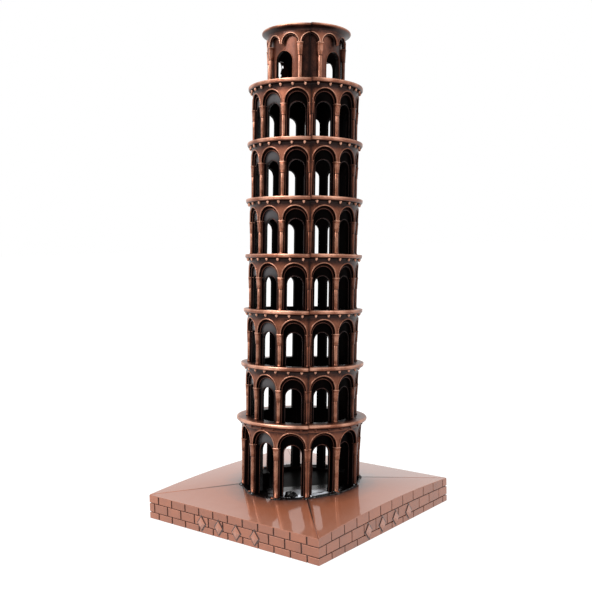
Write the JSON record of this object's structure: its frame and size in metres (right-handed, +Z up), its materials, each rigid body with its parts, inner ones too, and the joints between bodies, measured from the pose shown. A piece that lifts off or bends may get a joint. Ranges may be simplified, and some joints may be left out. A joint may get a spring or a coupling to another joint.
{
  "type": "miniature leaning tower model",
  "caption": "Cast souvenir model of a leaning round bell tower with open arcaded galleries, on a square brick-sided plinth, in antique copper.",
  "frame": {"origin": "centre of the plinth's underside, on the surface it stands on", "axes": "+Z up; X and Y along the plinth's sides; the tower leans towards +Y; its seam faces the corner between +X and -Y"},
  "size_m": [0.0816, 0.0816, 0.1795],
  "materials": {
    "tower_copper": "satin",
    "plinth_copper": "gloss",
    "foam_pad": "matte",
    "screw_steel": "satin"
  },
  "bodies": {
    "root": {"base_casting": "plinth_copper", "base_pad": "foam_pad", "fixing_screw_left": "screw_steel", "fixing_screw_right": "screw_steel", "ground_arcade_left": "tower_copper", "ground_arcade_right": "tower_copper", "gallery_1_left": "tower_copper", "gallery_1_right": "tower_copper", "gallery_2_left": "tower_copper", "gallery_2_right": "tower_copper", "gallery_3_left": "tower_copper", "gallery_3_right": "tower_copper", "gallery_4_left": "tower_copper", "gallery_4_right": "tower_copper", "gallery_5_left": "tower_copper", "gallery_5_right": "tower_copper", "gallery_6_left": "tower_copper", "gallery_6_right": "tower_copper", "belfry_left": "tower_copper", "belfry_right": "tower_copper"}
  },
  "joints": []
}
